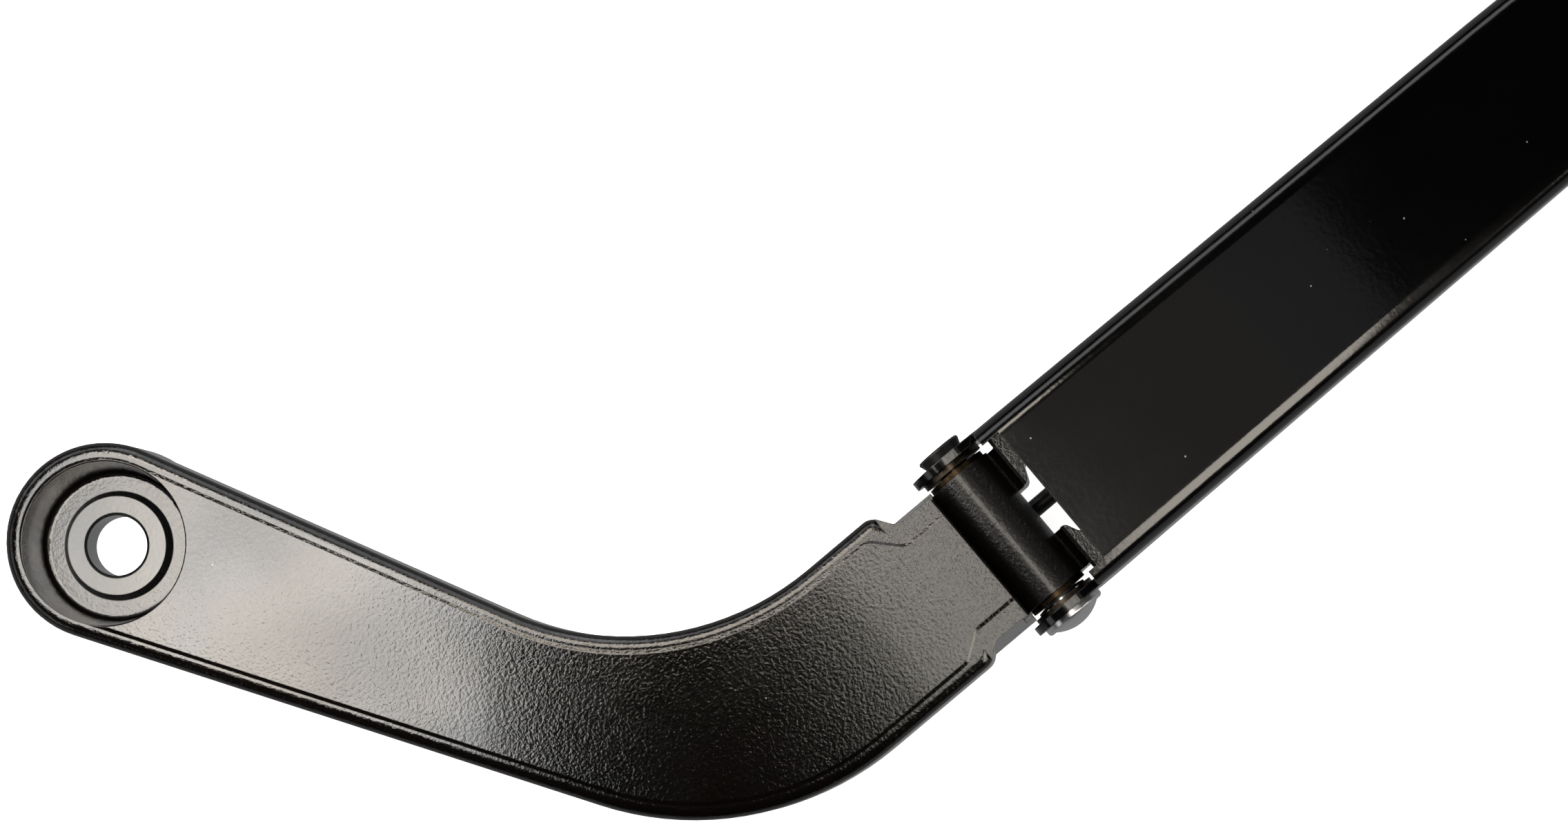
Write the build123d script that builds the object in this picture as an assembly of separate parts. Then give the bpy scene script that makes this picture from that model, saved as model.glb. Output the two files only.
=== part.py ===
"""Windscreen wiper arm: cast cranked head, pressed channel, flat rod with J-hook, tension spring.

Millimetres. The origin is on the spindle bore axis at the underside of the spindle boss, +Z points
out of the top face, and +X runs along the channel and rod. The hinge axis is parallel to Y.
"""
import os
from math import atan2, cos, degrees, radians, sin, sqrt, tan

from build123d import *

UPWARD = (Align.CENTER, Align.CENTER, Align.MIN)    # round bodies that stand on their placing point

# ---- head, plan view ----
HEAD_TOP = 22.0
END_R = 14.4                  # round end over the spindle
END_X, END_Y = 0.1, 0.37      # centre of the round end
INNER_DIR = -63.7             # direction of the leg's inner edge, degrees from +X
OUTER_DIR = -57.8             # direction of the leg's outer edge
INNER_BEND_R = 41.5
OUTER_BEND_R = 44.5
HINGE_X, HINGE_Y, HINGE_Z = 101.6, -83.5, 15.0
ARM_INNER = 14.55             # from the centre line to the second leg's inner edge
ARM_OUTER = 13.1              # and to its outer edge
SHOULDER_X = 87.8
SHOULDER_RUN = 2.4
NECK_HALF = 11.0
FLAT_END_X = HINGE_X - 5.35   # where the flat top stops short of the barrel

# ---- head, heights ----
LEG_BOTTOM = 7.0
WEB_BOTTOM = 17.6             # roof of the hollow under the legs
WALL = 3.2
RIB = 2.4
TOP_FILLET = 1.75             # on the legs; the neck's top edges stay sharp
STEP = 0.16                   # height of the raised plateau on the top
STEP_RUN = 0.55               # width of the plateau's soft edge
PLATEAU_INSET = 2.4           # from the legs' edges to the plateau
PLATEAU_HALF = 7.9            # and its half width on the neck
PLATEAU_SHOULDER_X = 85.2
PLATEAU_RUN = 4.0

# ---- spindle socket ----
SOCKET_TOP_R = 12.0
SOCKET_FLOOR_R = 10.95
SOCKET_FILLET = 0.9
SOCKET_FLOOR_Z = 7.2
INSERT_R = 8.1
INSERT_FACE_R = 7.3
INSERT_TOP_Z = 9.4
SPINDLE_R = 4.45
INSERT_FLANGE_R = 9.4

# ---- hinge ----
BARREL_R = 5.2
BARREL_LO, BARREL_HI = -10.9, 11.1    # barrel ends, from the hinge centre along Y
BUSH_R = 3.5
FLANGE_R = 4.7
FLANGE_T = 0.8
SHANK_R = 2.5
RUNNING = 0.05                # radial running clearance
WING_HALF = 12.5              # half width of the nose between the ears
SKIRT_HALF = 12.2             # half width of the flared skirt under the neck
BARREL_GAP = 4.9              # from the hinge axis back to the skirt's fins
FLASH_RISE = 0.12             # casting flash ticks across the barrel
WASHER_T = 0.7                # outer side, beside the curved washer
THICK_WASHER_T = 0.9          # inner side
WASHER_R = 5.0
CURVED_T = 0.35
CURVED_RISE = 0.35

# ---- channel ----
CH_START = HINGE_X + 8.4
CH_T = 1.3
CH_HALF = 14.4
CH_BEND_R = 3.2
CH_DEPTH = 18.0
LIP_X = HINGE_X + 5.4         # the bends start here, ahead of the ears' flat plates
LIP_HALF = 11.9               # the web is open between the lips
EAR_R = 6.0
TAPER_X = 212.0
TAPER_HALF = 13.5
CRIMP_X = 288.0
CRIMP_END = 318.0
ROD_W, ROD_T = 9.0, 4.0
CRIMP_HALF = ROD_W / 2 + CH_T
CRIMP_DEPTH = ROD_T + 2 * CH_T

# ---- rod ----
ROD_START = 272.0
TIP_X = 528.0
ROD_Z = HEAD_TOP - CH_T - ROD_T / 2
HOOK_INNER_R = 4.3
HOOK_TAIL = 21.0
ROD_DROP = 4.0                # degrees the rod dips towards the glass
ROD_BEND_R = 240.0
ROD_BEND_X = 336.0
ROD_LEVEL_X = 470.0

# ---- spring linkage, from the hinge axis ----
PIN_X, PIN_Z = -1.5, -10.5    # link pin in the head
SPRING_Y = 1.0                # the link and the spring lie a little to the inner side
ANCHOR_X, ANCHOR_Z = 150.0, 0.5
PIN_R = 1.75
LINK_WIRE = 2.7
LINK_BOW = 8.9                # depth of the bow that lets the link swing round the barrel
LINK_RISE = 18.2              # where the bow comes back up to the pull line
LINK_EYE = 33.0               # centre of the wire at the link's far eye
LINK_EYE_R = 2.3
SPRING_WIRE = 1.7
SPRING_R = 4.4
HOOK_BOW_R = 2.9              # of the spring's end hooks
TOUCH_GAP = 0.05              # between wires and pins that bear on each other

# ---- pull line of the spring, from the link pin to the anchor pin ----
PULL = degrees(atan2(ANCHOR_Z - PIN_Z, ANCHOR_X - PIN_X))
PULL_LENGTH = sqrt((ANCHOR_Z - PIN_Z) ** 2 + (ANCHOR_X - PIN_X) ** 2)
NEAR_BEARING = LINK_EYE - LINK_WIRE / 2 - TOUCH_GAP - SPRING_WIRE / 2
FAR_BEARING = PULL_LENGTH + PIN_R + TOUCH_GAP + SPRING_WIRE / 2
COIL_START = 44.0
COIL_END = PULL_LENGTH - 9.0


def save(shape, node):
    export_step(shape, f"parts/{node}.step")


def at_hinge(shape):
    return Pos(HINGE_X, HINGE_Y, HINGE_Z) * shape


def across(radius, y_low, y_high):
    """Cylinder along Y about the hinge axis, between two distances from the hinge centre."""
    body = Rot(-90, 0, 0) * Cylinder(radius, y_high - y_low, align=UPWARD)
    return Pos(0, y_low, 0) * body


def side_prism(profile, y_low, y_high):
    """Extrude an XZ profile, given as an (x, z) face drawn on XY, between two Y values."""
    body = extrude(profile, y_high - y_low)
    return Pos(0, y_high, 0) * Rot(90, 0, 0) * body


def closed_face(points, radii):
    return make_face(FilletPolyline(*points, radius=radii, close=True))


def foot(direction, distance, side):
    """Foot of the perpendicular from the origin to an edge line, and the line's direction."""
    along = Vector(cos(radians(direction)), sin(radians(direction)))
    normal = Vector(-along.Y, along.X) * side
    return normal * distance, along


def head_face(inset=0.0, shoulder=SHOULDER_X, neck=NECK_HALF, run=SHOULDER_RUN):
    """Plan outline of the head, drawn in by an inset."""
    centre = Vector(END_X, END_Y)
    high = HINGE_Y + ARM_INNER - inset
    low = HINGE_Y - ARM_OUTER + inset
    inner_foot, inner_along = foot(INNER_DIR, END_R - inset, 1)
    outer_foot, outer_along = foot(OUTER_DIR, END_R - inset, -1)
    inner_start = centre + inner_foot
    outer_start = centre + outer_foot
    inner_corner = inner_start + inner_along * ((high - inner_start.Y) / inner_along.Y)
    outer_corner = outer_start + outer_along * ((low - outer_start.Y) / outer_along.Y)
    path = FilletPolyline(
        inner_start,
        inner_corner,
        (shoulder, high),
        (shoulder + run, HINGE_Y + neck),
        (FLAT_END_X, HINGE_Y + neck),
        (FLAT_END_X, HINGE_Y - neck),
        (shoulder + run, HINGE_Y - neck),
        (shoulder, low),
        outer_corner,
        outer_start,
        radius=[INNER_BEND_R + inset, 2.5, 2.2, 0, 0, 2.2, 2.5, OUTER_BEND_R - inset],
    )
    back = radians((INNER_DIR + OUTER_DIR) / 2 + 180)
    tip = centre + Vector(cos(back), sin(back)) * (END_R - inset)
    round_end = ThreePointArc(outer_start, tip, inner_start)
    return make_face(path.edges() + [round_end])


def hinge_block():
    """Lugs under the barrel, their nose and the valley behind it, about the hinge axis."""
    points = [
        (-16.0, -8.0), (-9.5, -8.0), (-6.5, -14.3), (3.0, -14.3), (6.5, -10.5), (11.0, -4.0),
        (11.0, 4.7), (6.7, 4.7), (6.1, 0.2), (4.0, -1.0), (-4.0, -1.0), (-5.35, 0.6), (-16.0, 0.6),
    ]
    radii = [0, 3.0, 3.5, 3.0, 3.0, 2.0, 0.8, 0.5, 0.4, 0, 0, 0, 0]
    lugs = side_prism(closed_face(points, radii), -NECK_HALF + 0.1, NECK_HALF - 0.1)
    wings = side_prism(
        closed_face([(6.4, -4.0), (11.0, -4.0), (11.0, 4.7), (6.9, 4.7), (6.4, 4.2)], [0, 2.0, 0.8, 0, 0]),
        -WING_HALF,
        WING_HALF,
    )
    barrel = across(BARREL_R, BARREL_LO, BARREL_HI)
    notch_plan = closed_face(
        [(-7.5, -4.3), (7.2, -4.3), (8.3, -6.6), (13.0, -6.6),
         (13.0, 6.3), (8.3, 6.3), (7.2, 3.75), (-7.5, 3.75)],
        [1.5, 1.0, 0.8, 0, 0, 0.8, 1.0, 1.5],
    )
    low_notch = Pos(0, 0, -20) * extrude(notch_plan, 15.4)
    front_notch = Pos(0, 0, -20) * (extrude(notch_plan, 30) & Pos(20, 0, 15) * Box(40, 40, 40))
    return (lugs + wings - low_notch - front_notch) + barrel + flash_ticks()


def flash_ticks():
    """Three short raised marks the casting die leaves on top of the barrel."""
    ticks = []
    for x, y, length in ((-0.1, 7.9, 1.5), (-0.5, 2.3, 1.2), (0.3, 0.4, 1.1)):
        ring = across(BARREL_R + FLASH_RISE, y - 0.16, y + 0.16)
        ticks.append(ring & Pos(x, 0, BARREL_R) * Box(length, 30, BARREL_R))
    return ticks[0] + ticks[1] + ticks[2]


def hollow():
    """The space under the two legs, inside their walls, with cross ribs left standing."""
    plan = head_face(WALL, SHOULDER_X - 4, NECK_HALF - WALL)
    plan = plan - Circle(18.0)
    plan = plan - Pos(SHOULDER_X + 30, HINGE_Y) * Rectangle(84, 60)
    for x, y, turn in ((27.0, -47.0, 29.0), (50.0, -74.0, 60.0)):
        plan = plan - Pos(x, y) * Rot(0, 0, turn) * Rectangle(60, RIB)
    return Pos(0, 0, LEG_BOTTOM - 1) * extrude(plan, WEB_BOTTOM - LEG_BOTTOM + 1)


def plateau():
    """The raised middle of the top: close to the edges on the legs, drawn in on the neck."""
    plans = []
    for z, grow in ((HEAD_TOP - STEP, STEP_RUN / 2), (HEAD_TOP, -STEP_RUN / 2)):
        plan = head_face(PLATEAU_INSET - grow, PLATEAU_SHOULDER_X, PLATEAU_HALF + grow, PLATEAU_RUN)
        plans.append(Pos(0, 0, z) * plan)
    return loft(plans)


def neck_top(ledge):
    """The neck up to its sharp top edges, where the rounding of the legs' edges has ended."""
    past_legs = Pos(SHOULDER_X + 0.4 + 10, HINGE_Y) * Rectangle(20, 60)
    return Pos(0, 0, WEB_BOTTOM) * extrude(head_face() & past_legs, ledge - WEB_BOTTOM)


def skirt():
    """Flared sides under the neck, with a fin at each side that runs on beside the barrel."""
    section = closed_face(
        [(HINGE_Y - SKIRT_HALF, LEG_BOTTOM), (HINGE_Y + SKIRT_HALF, LEG_BOTTOM),
         (HINGE_Y + NECK_HALF, 20.0), (HINGE_Y - NECK_HALF, 20.0)],
        [0.5, 0.5, 0, 0],
    )
    body = extrude(Plane.YZ.offset(SHOULDER_X + 1) * section, FLAT_END_X - SHOULDER_X - 1.95)
    start = FLAT_END_X - 1.0
    for side in (-1, 1):
        fin = closed_face(
            [(HINGE_Y + side * 9.0, LEG_BOTTOM), (HINGE_Y + side * SKIRT_HALF, LEG_BOTTOM),
             (HINGE_Y + side * 11.64, 13.0), (HINGE_Y + side * 9.0, 13.0)],
            [0, 0.5, 0, 0],
        )
        body = body + extrude(Plane.YZ.offset(start) * fin, HINGE_X - BARREL_GAP - start, dir=(1, 0, 0))
    return body


def socket():
    """The deep counterbore over the spindle, with a slight lip at its mouth."""
    depth = HEAD_TOP - SOCKET_FLOOR_Z
    well = Pos(0, 0, SOCKET_FLOOR_Z) * Cone(SOCKET_FLOOR_R, SOCKET_TOP_R, depth, align=UPWARD)
    well = fillet(well.edges().sort_by(Axis.Z)[0], SOCKET_FILLET)
    lip = Pos(0, 0, HEAD_TOP - 0.18) * Cone(SOCKET_TOP_R - 0.02, SOCKET_TOP_R + 0.18, 0.2, align=UPWARD)
    return well, lip


def head_casting():
    ledge = HEAD_TOP - STEP
    body = Pos(0, 0, LEG_BOTTOM) * extrude(head_face(), ledge - LEG_BOTTOM)
    rim = [
        e for e in body.edges().filter_by_position(Axis.Z, ledge - 0.01, ledge + 0.01)
        if e.center().X < FLAT_END_X - 0.1
    ]
    body = fillet(rim, TOP_FILLET) + neck_top(ledge) + plateau()
    boss = Pos(END_X, END_Y) * Cylinder(END_R, LEG_BOTTOM + 4, align=UPWARD)
    boss = chamfer(boss.edges().sort_by(Axis.Z)[0], 1.0)
    body = body - hollow()
    body = body + boss + skirt() + at_hinge(hinge_block())
    well, lip = socket()
    body = body - well - lip - insert_blank()
    bore = at_hinge(across(BUSH_R, -20, 20))
    pin = at_hinge(Pos(PIN_X, 0, PIN_Z) * across(PIN_R, -20, 20))
    return body - bore - pin


def insert_blank():
    """Steel insert cast into the boss, with a flange that keeps it from pulling out."""
    ring = Cylinder(INSERT_R, SOCKET_FLOOR_Z, align=UPWARD)
    flange = Pos(0, 0, 2.4) * Cylinder(INSERT_FLANGE_R, 2.4, align=UPWARD)
    crown = Pos(0, 0, SOCKET_FLOOR_Z) * Cone(
        INSERT_R, INSERT_FACE_R, INSERT_TOP_Z - SOCKET_FLOOR_Z, align=UPWARD)
    return ring + flange + crown


def spindle_insert():
    bore = Cylinder(SPINDLE_R, 3 * INSERT_TOP_Z)
    body = insert_blank() - bore
    mouths = body.edges().filter_by(GeomType.CIRCLE).filter_by(lambda e: abs(e.radius - SPINDLE_R) < 0.01)
    return chamfer(mouths.sort_by(Axis.Z)[-1], 0.4)


def hinge_bush(y_face, side):
    """Flanged sintered bush pressed into one end of the barrel."""
    outer = across(BUSH_R, min(y_face, y_face - side * 9.0), max(y_face, y_face - side * 9.0))
    flange = across(FLANGE_R, min(y_face, y_face + side * FLANGE_T), max(y_face, y_face + side * FLANGE_T))
    return at_hinge(outer + flange - across(SHANK_R + RUNNING, -20, 20))


def thrust_washer(side, thickness):
    inner_face = side * (CH_HALF - CH_T)
    low, high = sorted((inner_face, inner_face - side * thickness))
    washer = across(WASHER_R, low, high) - across(SHANK_R + RUNNING, -20, 20)
    return at_hinge(washer)


def curved_washer():
    """Bowed spring washer between the lower thrust washer and the lower bush flange."""
    outer_r = 4.1
    rise = CURVED_RISE
    bow_r = (outer_r ** 2 + rise ** 2) / (2 * rise)
    top = -(CH_HALF - CH_T) + WASHER_T
    bow = Cylinder(bow_r + CURVED_T, 20) - Cylinder(bow_r, 20)
    bow = Pos(0, top + CURVED_T + rise - bow_r - CURVED_T, 0) * bow
    ring = across(outer_r, -20, 0) - across(SHANK_R + RUNNING, -20, 20)
    return at_hinge(bow & ring)


def hinge_rivet():
    """Shouldered rivet: domed head on the outer side, staked and dimpled end on the other."""
    low, high = -CH_HALF, CH_HALF
    shank = across(SHANK_R, low - 0.5, high + 0.5)
    rim = across(4.9, low - 1.1, low)
    rim = chamfer(rim.edges().filter_by(GeomType.CIRCLE).sort_by(Axis.Y)[0], 0.3)
    dome_rise, dome_r = 1.3, 3.9
    ball_r = (dome_r ** 2 + dome_rise ** 2) / (2 * dome_rise)
    ball = Pos(0, low - 1.1 - dome_rise + ball_r, 0) * Sphere(ball_r)
    dome = ball & across(dome_r, low - 4, low - 0.8)
    stake = Pos(0, high, 0) * Rot(-90, 0, 0) * Cone(3.1, 3.7, 1.6, align=UPWARD)
    stake = chamfer(stake.edges().filter_by(GeomType.CIRCLE).sort_by(Axis.Y)[-1], 0.3)
    dimple = Pos(0, high + 2.3, 0) * Sphere(1.5)
    return at_hinge(shank + rim + dome + stake - dimple)


def link_anchor_pin():
    pin = across(PIN_R, -NECK_HALF + 0.4, NECK_HALF - 0.4)
    return at_hinge(Pos(PIN_X, 0, PIN_Z) * pin)


def channel_plan(inset):
    """Plan of the channel about its centre line, from the hinge end to the rod end."""
    wide, mid, end = CH_HALF - inset, TAPER_HALF - inset, CRIMP_HALF - inset
    points = [
        (CH_START - 30, wide), (CH_START, wide), (TAPER_X, mid), (CRIMP_X, end), (CRIMP_END + 1, end),
    ]
    upper = [(x, HINGE_Y + y) for x, y in points]
    lower = [(x, HINGE_Y - y) for x, y in reversed(points)]
    return closed_face(upper + lower, [0, 60.0, 260.0, 120.0, 0, 0, 120.0, 260.0, 60.0, 0])


def channel_side(inset):
    """Side view of the channel, top at the web and bottom at the flange edges."""
    top = HEAD_TOP - inset
    points = [
        (CH_START - 30, top), (CRIMP_END + 1, top), (CRIMP_END + 1, HEAD_TOP - CRIMP_DEPTH),
        (CRIMP_X, HEAD_TOP - CRIMP_DEPTH), (CH_START + 30, HEAD_TOP - CH_DEPTH + 2.4),
        (CH_START, HEAD_TOP - CH_DEPTH), (CH_START - 30, HEAD_TOP - CH_DEPTH),
    ]
    return closed_face(points, [0, 0, 0, 60.0, 60.0, 0, 0])


def ear_profile():
    """Side view of the ears round the hinge rivet, up to where the bends start."""
    lap = LIP_X - HINGE_X + 0.6
    top = HEAD_TOP - HINGE_Z - CH_BEND_R + 0.4
    bottom = HEAD_TOP - HINGE_Z - CH_DEPTH + 0.1
    plate = closed_face(
        [(0, EAR_R), (2.4, EAR_R), (lap, top), (lap, bottom), (2.0, -EAR_R + 0.3), (0, -EAR_R)],
        [0, 2.0, 0, 0, 1.5, 0],
    )
    return Circle(EAR_R) + plate


def retainer_channel():
    solid = extrude(channel_plan(0), HEAD_TOP) & side_prism(channel_side(0), HINGE_Y - 20, HINGE_Y + 20)
    long_edges = [
        e for e in solid.edges().filter_by_position(Axis.Z, HEAD_TOP - 0.01, HEAD_TOP + 0.01)
        if CH_START - 29 < e.center().X < CRIMP_END
    ]
    solid = fillet(long_edges, CH_BEND_R)
    core = extrude(channel_plan(CH_T), HEAD_TOP - CH_T)
    core_edges = [
        e for e in core.edges().filter_by_position(Axis.Z, HEAD_TOP - CH_T - 0.01, HEAD_TOP - CH_T + 0.01)
        if CH_START - 29 < e.center().X < CRIMP_END
    ]
    core = fillet(core_edges, CH_BEND_R - CH_T)
    open_x = CRIMP_X - 8
    core_open = core & Pos((open_x - 40) / 2, HINGE_Y, 0) * Box(open_x + 40, 60, 100)
    core_crimp = Pos((open_x + CRIMP_END + 2) / 2, HINGE_Y, ROD_Z) * Box(CRIMP_END + 2 - open_x, ROD_W, ROD_T)
    slot = Pos((open_x + CRIMP_END + 2) / 2, HINGE_Y, ROD_Z - 5) * Box(CRIMP_END + 2 - open_x, 5.4, 10)
    shell = solid - core_open - core_crimp - slot
    trim_end = Pos(CRIMP_END + 25, HINGE_Y, 0) * Box(50, 60, 100)
    front = Pos(LIP_X - 50, HINGE_Y, 0) * Box(100, 60, 100)
    web_gap = Pos(CH_START - 25, HINGE_Y, 0) * Box(50, 2 * LIP_HALF, 100)
    ears = at_hinge(side_prism(ear_profile(), -CH_HALF, CH_HALF))
    ears = ears - at_hinge(Box(100, 2 * (CH_HALF - CH_T), 100))
    shell = shell - front - web_gap - trim_end + ears
    rivet_hole = at_hinge(across(SHANK_R, -30, 30))
    anchor = at_hinge(Pos(ANCHOR_X, 0, ANCHOR_Z) * across(PIN_R, -30, 30))
    return shell - rivet_hole - anchor - rod_rivet_shanks()


def rod_path():
    """Centre line of the rod in side view: straight, a long dip, and back level before the hook."""
    slope = radians(ROD_DROP)
    run = ROD_LEVEL_X - ROD_BEND_X
    level_z = ROD_Z - run * tan(slope)
    bend_r = HOOK_INNER_R + ROD_T / 2
    hook_x = TIP_X - bend_r - ROD_T / 2
    straight = FilletPolyline(
        (ROD_START, ROD_Z), (ROD_BEND_X, ROD_Z), (ROD_LEVEL_X, level_z), (hook_x, level_z), radius=ROD_BEND_R)
    hook = ThreePointArc(
        (hook_x, level_z), (hook_x + bend_r, level_z - bend_r), (hook_x, level_z - 2 * bend_r))
    tail = Line((hook_x, level_z - 2 * bend_r), (hook_x - HOOK_TAIL, level_z - 2 * bend_r))
    return Wire(straight.edges() + [hook.edge(), tail.edge()])


def arm_rod():
    path = Pos(0, HINGE_Y, 0) * Rot(90, 0, 0) * rod_path()
    section = Plane(origin=(ROD_START, HINGE_Y, ROD_Z), x_dir=(0, 1, 0), z_dir=(1, 0, 0))
    profile = section * RectangleRounded(ROD_W, ROD_T, 0.6)
    rod = sweep(profile, path=path)
    return rod - rod_rivet_shanks()


def rod_rivet_shanks():
    shanks = [
        Pos(x, HINGE_Y, ROD_Z) * Cylinder(1.5, 20)
        for x in (CRIMP_X + 7, CRIMP_END - 9)
    ]
    return shanks[0] + shanks[1]


def rod_rivets():
    rivets = []
    for x in (CRIMP_X + 7, CRIMP_END - 9):
        bottom = ROD_Z - ROD_T / 2
        shank = Pos(x, HINGE_Y, bottom) * Cylinder(
            1.5, HEAD_TOP - bottom, align=UPWARD)
        cap = Pos(x, HINGE_Y, HEAD_TOP) * Cone(2.7, 1.7, 0.8, align=UPWARD)
        tail = Pos(x, HINGE_Y, bottom - 0.7) * Cone(1.7, 2.4, 0.7, align=UPWARD)
        rivets.append(shank + cap + tail)
    return Compound(children=rivets)


def spring_anchor_pin():
    half = half_width_at(HINGE_X + ANCHOR_X)
    pin = across(PIN_R, -half - 0.8, half + 0.8)
    return at_hinge(Pos(ANCHOR_X, 0, ANCHOR_Z) * pin)


def half_width_at(x):
    share = (x - TAPER_X) / (CRIMP_X - TAPER_X)
    return TAPER_HALF + (CRIMP_HALF - TAPER_HALF) * share


def on_pull_line(shape):
    """Place a shape drawn with the link pin at the origin and the pull line along X."""
    return at_hinge(Pos(PIN_X, SPRING_Y, PIN_Z) * Rot(0, -PULL, 0) * shape)


def link_wire_path():
    """Hook round the link pin, C-shaped bow that clears the barrel, straight run, far eye."""
    hook_r = PIN_R + TOUCH_GAP + LINK_WIRE / 2
    eye_r = LINK_EYE_R
    points = [
        (1.6, hook_r), (-hook_r, hook_r), (-hook_r, -LINK_BOW), (LINK_RISE, -LINK_BOW),
        (LINK_RISE, eye_r), (LINK_EYE, eye_r), (LINK_EYE, -eye_r), (LINK_EYE - 6.5, -eye_r),
    ]
    return FilletPolyline(*points, radius=[hook_r - 0.02, 5.0, 5.0, 3.0, eye_r - 0.05, eye_r - 0.05])


def spring_link():
    path = Rot(90, 0, 0) * link_wire_path()
    start = path @ 0
    tangent = path % 0
    profile = Plane(origin=start, z_dir=tangent) * Circle(LINK_WIRE / 2)
    return on_pull_line(sweep(profile, path=path))


def spring_hook(plane, bearing_x, coil_x):
    """Round wire hook that bears at bearing_x and runs back into the coil end at coil_x."""
    side = 1 if coil_x > bearing_x else -1
    bow_r = HOOK_BOW_R
    points = [(coil_x, bow_r), (bearing_x, bow_r), (bearing_x, -bow_r), (bearing_x + side * 4.5, -bow_r)]
    path = plane * FilletPolyline(*points, radius=bow_r - 0.05)
    profile = Plane(origin=path @ 0, z_dir=path % 0) * Circle(SPRING_WIRE / 2)
    return sweep(profile, path=path)


def tension_spring():
    """Envelope of the coil with an open hook at each end, drawn on the pull line."""
    length = COIL_END - COIL_START
    coil = Pos((COIL_START + COIL_END) / 2, 0, 0) * Rot(0, 90, 0) * Cylinder(SPRING_R, length)
    near = spring_hook(Plane.XY, NEAR_BEARING, COIL_START + 0.5)
    far = spring_hook(Plane.XZ, FAR_BEARING, COIL_END - 0.5)
    return on_pull_line(coil + near + far)


def main():
    os.makedirs("parts", exist_ok=True)
    save(head_casting(), "head_casting")
    save(spindle_insert(), "spindle_insert")
    save(hinge_bush(BARREL_HI, 1), "hinge_bush_inner_side")
    save(hinge_bush(BARREL_LO, -1), "hinge_bush_outer_side")
    save(thrust_washer(1, THICK_WASHER_T), "thrust_washer_inner_side")
    save(thrust_washer(-1, WASHER_T), "thrust_washer_outer_side")
    save(curved_washer(), "curved_spring_washer")
    save(hinge_rivet(), "hinge_rivet")
    save(link_anchor_pin(), "link_anchor_pin")
    save(retainer_channel(), "retainer_channel")
    save(arm_rod(), "arm_rod")
    save(rod_rivets(), "rod_rivets")
    save(spring_anchor_pin(), "spring_anchor_pin")
    save(spring_link(), "spring_link")
    save(tension_spring(), "tension_spring")


main()
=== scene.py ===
"""Looks of the windscreen wiper arm: paint, metals, wound spring, studio and camera."""
from math import cos, pi, radians, sin, tau

import bpy
from mathutils import Matrix, Vector


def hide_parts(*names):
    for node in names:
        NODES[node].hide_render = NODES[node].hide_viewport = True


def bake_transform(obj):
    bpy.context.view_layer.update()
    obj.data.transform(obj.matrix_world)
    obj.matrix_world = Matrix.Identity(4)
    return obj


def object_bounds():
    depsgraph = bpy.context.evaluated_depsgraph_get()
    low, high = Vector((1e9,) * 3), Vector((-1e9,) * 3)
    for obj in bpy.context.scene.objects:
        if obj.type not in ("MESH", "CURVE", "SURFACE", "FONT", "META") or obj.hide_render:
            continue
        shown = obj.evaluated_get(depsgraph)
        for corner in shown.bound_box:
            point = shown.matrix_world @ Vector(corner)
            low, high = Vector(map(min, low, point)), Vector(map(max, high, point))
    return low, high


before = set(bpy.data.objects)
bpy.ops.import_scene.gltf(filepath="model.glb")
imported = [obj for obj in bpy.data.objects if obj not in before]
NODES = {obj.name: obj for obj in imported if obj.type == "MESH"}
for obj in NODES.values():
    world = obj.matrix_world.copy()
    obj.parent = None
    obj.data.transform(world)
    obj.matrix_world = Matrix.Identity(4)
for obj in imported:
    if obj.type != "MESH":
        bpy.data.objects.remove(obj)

CAD_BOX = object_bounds()
MM = 0.001
HINGE = Vector((101.6, -83.5, 15.0)) * MM            # middle of the arm's hinge axis
BLACK_COAT = {"Metallic": 0.0, "Coat_Weight": 0.3}
MIDDLE = (0.2, 0.8)                                  # range in which most of a noise lies
DUST = (0.25, 0.24, 0.22)


# ---------------------------------------------------------------- node helpers

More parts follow.
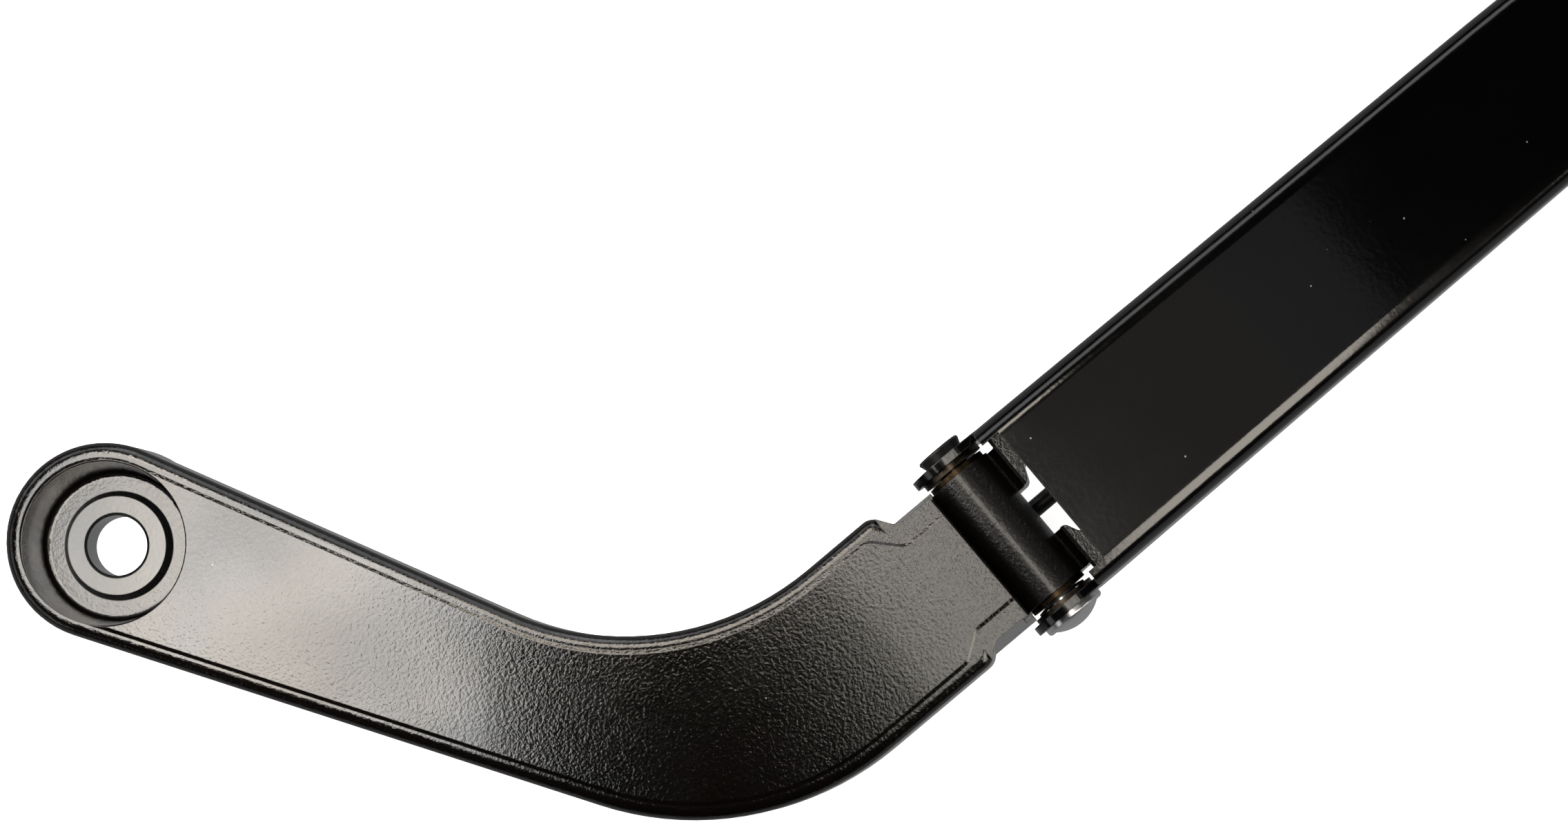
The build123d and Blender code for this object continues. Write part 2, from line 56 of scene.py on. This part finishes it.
class Shader:
    """Small wrapper that adds nodes to one material and links them."""

    def __init__(self, name):
        self.material = bpy.data.materials.new(name)
        self.material.use_nodes = True
        self.tree = self.material.node_tree
        self.principled = self.tree.nodes["Principled BSDF"]
        coords = self.tree.nodes.new("ShaderNodeTexCoord")
        self.place = coords.outputs["Object"]

    def set(self, **values):
        for key, value in values.items():
            self.principled.inputs[key.replace("_", " ")].default_value = value

    def link(self, out, to):
        self.tree.links.new(out, to)

    def noise(self, scale, detail=3.0, rough=0.55):
        node = self.tree.nodes.new("ShaderNodeTexNoise")
        node.inputs["Scale"].default_value = scale
        node.inputs["Detail"].default_value = detail
        node.inputs["Roughness"].default_value = rough
        self.link(self.place, node.inputs["Vector"])
        return node.outputs["Fac"]

    def cells(self, scale):
        node = self.tree.nodes.new("ShaderNodeTexVoronoi")
        node.inputs["Scale"].default_value = scale
        self.link(self.place, node.inputs["Vector"])
        return node.outputs["Distance"]

    def ramp(self, value, low, high, at=(0.0, 1.0)):
        node = self.tree.nodes.new("ShaderNodeMapRange")
        node.inputs["From Min"].default_value = at[0]
        node.inputs["From Max"].default_value = at[1]
        node.inputs["To Min"].default_value = low
        node.inputs["To Max"].default_value = high
        node.interpolation_type = "SMOOTHSTEP"
        self.link(value, node.inputs["Value"])
        return node.outputs["Result"]

    def math(self, kind, a, b):
        node = self.tree.nodes.new("ShaderNodeMath")
        node.operation = kind
        for socket, value in zip(node.inputs, (a, b)):
            if isinstance(value, (int, float)):
                socket.default_value = value
            else:
                self.link(value, socket)
        return node.outputs["Value"]

    def mix(self, factor, a, b):
        node = self.tree.nodes.new("ShaderNodeMix")
        node.data_type = "RGBA"
        self.link(factor, node.inputs["Factor"])
        for name, value in (("A", a), ("B", b)):
            if isinstance(value, tuple):
                node.inputs[name].default_value = (*value, 1.0)
            else:
                self.link(value, node.inputs[name])
        return node.outputs["Result"]

    def bump(self, height, distance, strength=1.0, under=None):
        node = self.tree.nodes.new("ShaderNodeBump")
        node.inputs["Strength"].default_value = strength
        node.inputs["Distance"].default_value = distance
        self.link(height, node.inputs["Height"])
        if under is not None:
            self.link(under, node.inputs["Normal"])
        return node.outputs["Normal"]

    def axes(self):
        node = self.tree.nodes.new("ShaderNodeSeparateXYZ")
        self.link(self.place, node.inputs["Vector"])
        return node.outputs["X"], node.outputs["Y"], node.outputs["Z"]

    def from_hinge_axis(self):
        """Distance from the hinge axis, which is parallel to Y."""
        x, _, z = self.axes()
        dx = self.math("SUBTRACT", x, HINGE.x)
        dz = self.math("SUBTRACT", z, HINGE.z)
        square = self.math("ADD", self.math("MULTIPLY", dx, dx), self.math("MULTIPLY", dz, dz))
        return self.math("POWER", square, 0.5)

    def soft_edges(self, radius):
        """Surface direction rounded off near sharp edges."""
        bevel = self.tree.nodes.new("ShaderNodeBevel")
        bevel.inputs["Radius"].default_value = radius
        return bevel.outputs["Normal"]

    def dust(self, colour, size, spacing):
        """A few pale specks of dust on top of a colour, about one in each cell of the spacing."""
        distance = self.cells(1.0 / spacing)
        speck = self.ramp(distance, 1.0, 0.0, at=(0.6 * size / spacing, size / spacing))
        return self.mix(speck, colour, DUST)

    def finish(self, colour=None, rough=None, normal=None):
        for out, name in ((colour, "Base Color"), (rough, "Roughness"), (normal, "Normal")):
            if out is not None:
                self.link(out, self.principled.inputs[name])
        return self.material


# ---------------------------------------------------------------- materials

def cast_paint():
    """Black paint over a die casting: orange peel, a few lumps, rougher round the barrel."""
    s = Shader("cast_paint")
    s.set(IOR=1.5, Coat_Roughness=0.1, **BLACK_COAT)
    colour = s.mix(s.noise(26.0, 3.0, 0.6), (0.0009, 0.0007, 0.0006), (0.0022, 0.0015, 0.0011))
    colour = s.dust(colour, 0.16 * MM, 5.5 * MM)
    rough = s.ramp(s.noise(70.0, 4.0), 0.11, 0.17, at=MIDDLE)
    barrel = s.ramp(s.from_hinge_axis(), 0.14, 0.0, at=(5.3 * MM, 5.8 * MM))
    rough = s.math("ADD", rough, barrel)
    soft = s.soft_edges(0.2 * MM)
    lumps = s.bump(s.noise(420.0, 3.0, 0.5), 0.07 * MM, 0.25, under=soft)
    peel = s.bump(s.noise(1900.0, 2.0, 0.6), 0.066 * MM, 1.0, under=lumps)
    return s.finish(colour, rough, peel)


def pressed_paint(name="pressed_paint", rough_low=0.10, rough_high=0.17):
    """Smooth semi-gloss black on pressed steel, with faint handling marks."""
    s = Shader(name)
    s.set(IOR=1.5, Coat_Roughness=0.1, **BLACK_COAT)
    colour = s.mix(s.noise(18.0, 4.0, 0.6), (0.0005, 0.0005, 0.0007), (0.0013, 0.0012, 0.0011))
    colour = s.dust(colour, 0.18 * MM, 5.0 * MM)
    rough = s.ramp(s.noise(60.0, 5.0), rough_low, rough_high, at=MIDDLE)
    soft = s.soft_edges(0.25 * MM)
    wave = s.bump(s.noise(35.0, 2.0), 0.25 * MM, 0.2, under=soft)
    return s.finish(colour, rough, s.bump(s.noise(1100.0, 2.0), 0.03 * MM, 0.5, under=wave))


def insert_paint():
    """The same black over the turned steel insert, finer grained than the casting."""
    s = Shader("insert_paint")
    s.set(IOR=1.55, Coat_Roughness=0.14, **BLACK_COAT)
    colour = s.mix(s.noise(160.0, 4.0), (0.004, 0.005, 0.005), (0.010, 0.011, 0.011))
    rough = s.ramp(s.noise(300.0, 3.0), 0.14, 0.22, at=MIDDLE)
    soft = s.soft_edges(0.2 * MM)
    return s.finish(colour, rough, s.bump(s.noise(2200.0, 2.0), 0.04 * MM, 0.8, under=soft))


def metal(name, dark, light, rough=(0.25, 0.4)):
    """Bare or plated metal with stains and fine pitting."""
    s = Shader(name)
    s.set(Metallic=1.0)
    stains = s.noise(240.0, 5.0, 0.65)
    colour = s.mix(s.ramp(stains, 0.0, 1.0, at=(0.35, 0.65)), dark, light)
    roughness = s.ramp(s.noise(408.0, 3.0), *rough, at=MIDDLE)
    soft = s.soft_edges(0.15 * MM)
    return s.finish(colour, roughness, s.bump(s.noise(1800.0, 2.0), 0.02 * MM, 0.4, under=soft))


def rivet_metal():
    """Bright plated head on the outer side, black painted staked end on the inner side."""
    s = Shader("rivet_metal")
    stains = s.noise(300.0, 4.0, 0.6)
    bright = s.mix(stains, (0.62, 0.62, 0.63), (0.86, 0.86, 0.87))
    black = s.mix(stains, (0.004, 0.004, 0.0045), (0.012, 0.011, 0.010))
    _, y, _ = s.axes()
    painted = s.ramp(y, 0.0, 1.0, at=(HINGE.y - 0.5 * MM, HINGE.y + 0.5 * MM))
    colour = s.mix(painted, bright, black)
    s.link(s.math("SUBTRACT", 1.0, painted), s.principled.inputs["Metallic"])
    rough = s.ramp(s.noise(200.0, 3.0), 0.2, 0.34, at=MIDDLE)
    soft = s.soft_edges(0.2 * MM)
    return s.finish(colour, rough, s.bump(s.noise(900.0, 3.0), 0.05 * MM, 0.5, under=soft))


def dress(material, *names):
    for name in names:
        slots = NODES[name].data.materials
        slots.clear()
        slots.append(material)


WIRE = metal("dark_wire", (0.02, 0.02, 0.02), (0.06, 0.058, 0.055), (0.3, 0.45))
SPRING = metal("oiled_spring", (0.07, 0.068, 0.065), (0.2, 0.195, 0.185), (0.22, 0.36))
BRONZE = metal("sintered_bronze", (0.014, 0.009, 0.006), (0.055, 0.036, 0.02))
ZINC = metal("dull_zinc", (0.012, 0.009, 0.007), (0.075, 0.06, 0.045))

dress(cast_paint(), "head_casting")
dress(pressed_paint(), "retainer_channel")
dress(pressed_paint("rod_paint", 0.16, 0.25), "arm_rod", "rod_rivets", "spring_anchor_pin")
dress(insert_paint(), "spindle_insert")
dress(BRONZE, "hinge_bush_inner_side", "hinge_bush_outer_side")
dress(ZINC, "thrust_washer_inner_side", "thrust_washer_outer_side")
dress(rivet_metal(), "hinge_rivet")
dress(WIRE, "link_anchor_pin", "spring_link", "curved_spring_washer")


# ---------------------------------------------------------------- wound spring

PULL = radians(4.153)                                # angle of the pull line above +X
PULL_START = HINGE + Vector((-1.5, 1.0, -10.5)) * MM  # link pin, where the pull line starts
NEAR_BEARING, FAR_BEARING = 30.75 * MM, 154.53 * MM  # wire centres where the hooks bear
COIL_START, COIL_END = 44.0 * MM, 142.88 * MM
WIRE_R = 0.85 * MM
COIL_R = 3.55 * MM                                   # from the coil's axis to the wire's centre
COIL_PITCH = 2.01 * WIRE_R                           # the turns all but touch
HOOK_BOW = 2.9 * MM                                  # radius of a hook's half circle
HOOK_TAIL = 1.6 * MM                                 # straight wire at the free end of a hook
LEG_GAP = 1.6 * MM                                   # from the end of a hook's leg to the coil
HOOK_STEPS, COIL_STEPS = 8, 14                       # spline points per half hook and per turn


def on_pull_line(x, y, z):
    along = Vector((cos(PULL), 0.0, sin(PULL)))
    over = Vector((-sin(PULL), 0.0, cos(PULL)))
    return PULL_START + along * x + Vector((0.0, 1.0, 0.0)) * y + over * z


def through(radius, step):
    """Radius of control points, step radians apart, whose quadratic spline runs at the radius."""
    return radius / (0.75 + 0.25 * cos(step))


def hook_points(bearing, side):
    """Tail and half circle of an end hook; wound_spring adds the leg that runs back to the coil.
    """
    centre = bearing + side * HOOK_BOW
    radius = through(HOOK_BOW, pi / HOOK_STEPS)
    points = [(centre + side * HOOK_TAIL, -HOOK_BOW)]
    for step in range(HOOK_STEPS + 1):
        angle = pi * step / HOOK_STEPS - pi / 2
        points.append((centre - side * radius * cos(angle), radius * sin(angle)))
    return points


def coil_points():
    first, last = COIL_START + WIRE_R, COIL_END - WIRE_R
    turns = int((last - first) / COIL_PITCH) + 0.25  # the quarter turn crosses the two hooks
    count = round(turns * COIL_STEPS)
    radius = through(COIL_R, tau / COIL_STEPS)
    points = []
    for i in range(count + 1):
        x = first + (last - first) * i / count
        angle = tau * turns * i / count
        points.append((x, radius * cos(angle), radius * sin(angle)))
    return points


def wire_mesh(points):
    """Round wire along a quadratic spline through points on the pull line."""
    curve = bpy.data.curves.new("spring_wire", "CURVE")
    curve.dimensions = "3D"
    curve.bevel_depth = WIRE_R
    curve.bevel_resolution = 2
    curve.resolution_u = 2
    curve.use_fill_caps = True
    spline = curve.splines.new("NURBS")
    spline.points.add(len(points) - 1)
    for slot, point in zip(spline.points, points):
        slot.co = (*on_pull_line(*point), 1.0)
    spline.order_u = 3
    spline.use_endpoint_u = True
    source = bpy.data.objects.new("spring_wire", curve)
    bpy.context.collection.objects.link(source)
    bpy.context.view_layer.update()
    graph = bpy.context.evaluated_depsgraph_get()
    mesh = bpy.data.meshes.new_from_object(source.evaluated_get(graph))
    bpy.data.objects.remove(source)
    mesh.shade_smooth()
    return mesh


def wound_spring():
    near = [(x, y, 0.0) for x, y in hook_points(NEAR_BEARING, 1)]
    far = [(x, 0.0, z) for x, z in reversed(hook_points(FAR_BEARING, -1))]
    near_leg = (COIL_START - LEG_GAP, HOOK_BOW, 0.0)
    far_leg = (COIL_END + LEG_GAP, 0.0, HOOK_BOW)
    mesh = wire_mesh([*near, near_leg, *coil_points(), far_leg, *far])
    piece = bpy.data.objects.new("wound_spring", mesh)
    bpy.context.collection.objects.link(piece)
    mesh.materials.clear()
    mesh.materials.append(SPRING)
    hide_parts("tension_spring")
    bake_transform(piece)


wound_spring()


# ---------------------------------------------------------------- studio

FLOOR_GAP = 0.5 * MM                                 # from the lowest point down to the floor
FLOOR_HALF = 3000                                    # half the floor's width, in mm
SHEET_HEIGHT = 0.132                                 # heights of the low lamps, in m
BOX_HEIGHT = 0.142
PATCH_BLUE = (0.86, 0.92, 1.0)                       # cooler patches in a dappled sheet
WARM = (1.0, 0.93, 0.82)
COOL = (0.95, 0.97, 1.0)


def glowing(name, colour, strength, dapple=0.0):
    """Material that glows evenly, or in soft patches where dapple is the patches' size."""
    s = Shader(name)
    s.set(Base_Color=(*colour, 1.0), Roughness=0.9, Specular_IOR_Level=0.1)
    s.set(Emission_Color=(*colour, 1.0), Emission_Strength=strength)
    if dapple:
        patches = s.noise(1.0 / dapple, 1.0)
        level = s.ramp(patches, 0.5 * strength, 1.5 * strength, at=(0.38, 0.62))
        s.link(level, s.principled.inputs["Emission Strength"])
        cast = s.ramp(s.noise(1.4 / dapple, 1.0), 0.0, 1.0, at=(0.46, 0.6))
        s.link(s.mix(cast, colour, PATCH_BLUE), s.principled.inputs["Emission Color"])
    return s.material


def panel(name, corners, height, material):
    """Level sheet that isn't part of the object. Corners are in mm, the height in m."""
    mesh = bpy.data.meshes.new(name)
    points = [(x * MM, y * MM, height) for x, y in corners]
    mesh.from_pydata(points, [], [range(len(points))])
    mesh.materials.append(material)
    obj = bpy.data.objects.new(name, mesh)
    bpy.context.collection.objects.link(obj)
    return obj


def floor():
    """White floor for the camera, with a darker card just under it that only reflections see."""
    z = CAD_BOX[0][2] - FLOOR_GAP
    signs = ((-1, -1), (1, -1), (1, 1), (-1, 1))
    corners = [(a * FLOOR_HALF, b * FLOOR_HALF) for a, b in signs]
    white = panel("floor", corners, z, glowing("floor_white", (0.95, 0.95, 0.95), 0.9))
    white.visible_glossy = False
    card = panel("floor_card", corners, z - MM, glowing("card_grey", (0.16, 0.16, 0.16), 0.5))
    card.visible_camera = False


def overhead(name, corners, radiance, colour, dapple=0.0):
    """Glowing sheet low over the head. It lights and reflects, and the camera doesn't see it."""
    glow = glowing(name + "_glow", colour, radiance, dapple)
    sheet = panel(name, corners, SHEET_HEIGHT, glow)
    sheet.visible_camera = False
    sheet.visible_shadow = False


def area_light(name, at, aim, size, radiance, colour=(1.0, 1.0, 1.0)):
    """Soft box of a given brightness. It lights and reflects, and the camera doesn't see it."""
    data = bpy.data.lights.new(name, "AREA")
    data.shape = "RECTANGLE"
    data.size, data.size_y = size
    data.energy = radiance * pi * size[0] * size[1]
    data.color = colour
    obj = bpy.data.objects.new(name, data)
    bpy.context.collection.objects.link(obj)
    turn = (Vector(aim) - Vector(at)).to_track_quat("-Z", "Y")
    obj.matrix_world = Matrix.Translation(at) @ turn.to_matrix().to_4x4()
    obj.visible_camera = False


def down_light(name, centre, size, radiance, colour):
    """Soft box close over the object, which points straight down."""
    at = Vector((*centre, BOX_HEIGHT))
    area_light(name, at, at - Vector((0.0, 0.0, 1.0)), size, radiance, colour)


# Corners of the two low sheets, in mm: one over the first leg, one beside the bend.
LEG_BOX = [
    (-53.6, 28.2), (4.8, -64.6), (26.2, -38.0), (32.0, -32.0), (40.0, -31.0),
    (76.0, 0.0), (66.6, 15.3), (26.6, 78.7),
]
INNER_BOX = [
    (40.0, -31.0), (48.0, -36.0), (56.0, -43.0), (66.0, -49.5), (80.0, -53.5),
    (98.0, -53.5), (98.0, -35.0), (122.0, -30.0), (122.0, 0.0), (76.0, 0.0),
]


def studio():
    """Nearly black surroundings, low lamps over the object and strips round it."""
    world = bpy.data.worlds.new("studio")
    bpy.context.scene.world = world
    world.use_nodes = True
    background = world.node_tree.nodes["Background"]
    background.inputs["Color"].default_value = (0.85, 0.92, 1.0, 1.0)
    background.inputs["Strength"].default_value = 0.008
    overhead("leg_box", LEG_BOX, 8.6, (1.0, 0.92, 0.81), dapple=22.0 * MM)
    overhead("inner_box", INNER_BOX, 5.6, (1.0, 0.91, 0.79))
    down_light("shoulder_box", (0.0893, -0.086), (0.0295, 0.07), 4.6, (1.0, 0.95, 0.87))
    down_light("channel_box", (0.133, -0.084), (0.040, 0.07), 0.24, (1.0, 0.95, 0.88))
    down_light("channel_far_box", (0.139, -0.090), (0.068, 0.06), 0.22, COOL)
    down_light("outer_box", (0.141, -0.222), (0.058, 0.18), 6.0, WARM)
    channel = (0.15, -0.08, 0.0)
    area_light("inner_strip", (0.2, 0.75, 0.45), channel, (1.4, 0.30), 1.6)
    area_light("far_strip", (0.75, 0.45, 0.45), (0.05, -0.04, 0.0), (0.7, 0.7), 1.4, COOL)
    area_light("outer_strip", (0.70, -0.80, 0.40), channel, (0.9, 0.30), 3.0, (1.0, 0.95, 0.85))
    area_light("end_strip", (-0.7, 0.2, 0.35), (0.0, 0.0, 0.0), (1.0, 0.3), 0.8)


def camera():
    """Long lens from almost straight above, turned so that the channel runs up and right."""
    data = bpy.data.cameras.new("camera")
    obj = bpy.data.objects.new("camera", data)
    bpy.context.collection.objects.link(obj)
    eye = Vector((105.55, -120.23, 1022.0)) * MM
    target = Vector((87.95, -49.63, 22.0)) * MM
    back = (eye - target).normalized()
    up = Vector((0.643, 0.766, 0.0))
    right = up.cross(back).normalized()
    up = back.cross(right)
    turn = Matrix((right, up, back)).transposed()
    obj.matrix_world = Matrix.Translation(eye) @ turn.to_4x4()
    data.sensor_width = 36.0
    data.lens = 158.9
    data.clip_start = 0.01
    data.dof.use_dof = False
    bpy.context.scene.camera = obj


floor()
studio()
camera()
bpy.context.scene.view_settings.view_transform = "Standard"
